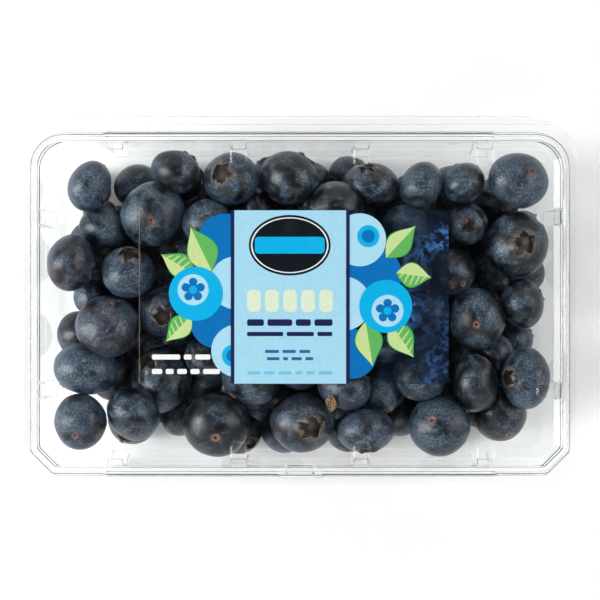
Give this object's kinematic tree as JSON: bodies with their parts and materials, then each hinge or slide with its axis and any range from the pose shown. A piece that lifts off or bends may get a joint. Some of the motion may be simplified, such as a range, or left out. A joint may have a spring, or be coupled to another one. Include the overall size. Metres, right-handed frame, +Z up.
{
  "type": "punnet of blueberries",
  "caption": "Low clear clamshell punnet full of blueberries: a drafted tray, a vented lid hinged along the back, a snap latch in front and a plain label film on the lid.",
  "frame": {"origin": "centre of the box of the closed punnet, on the plane of the tray's floor", "axes": "+X along the hinge, +Y towards the hinge at the back, +Z up; the latch is at -Y"},
  "size_m": [0.187, 0.1234, 0.038],
  "materials": {
    "clear_plastic": "clear thermoformed sheet",
    "label_print": "printed film",
    "fruit_skin": "dark fruit skin with a dull bloom"
  },
  "bodies": {
    "tray": {"tray": "clear_plastic", "hinge": "clear_plastic", "fruit": "fruit_skin"},
    "lid": {"lid": "clear_plastic", "label": "label_print"}
  },
  "joints": [
    {"name": "lid_hinge", "type": "hinge", "parent": "tray", "child": "lid", "pos_m": [0, 0.06055, 0.02615], "axis": [-1, 0, 0], "range_deg": [0, 180]}
  ]
}
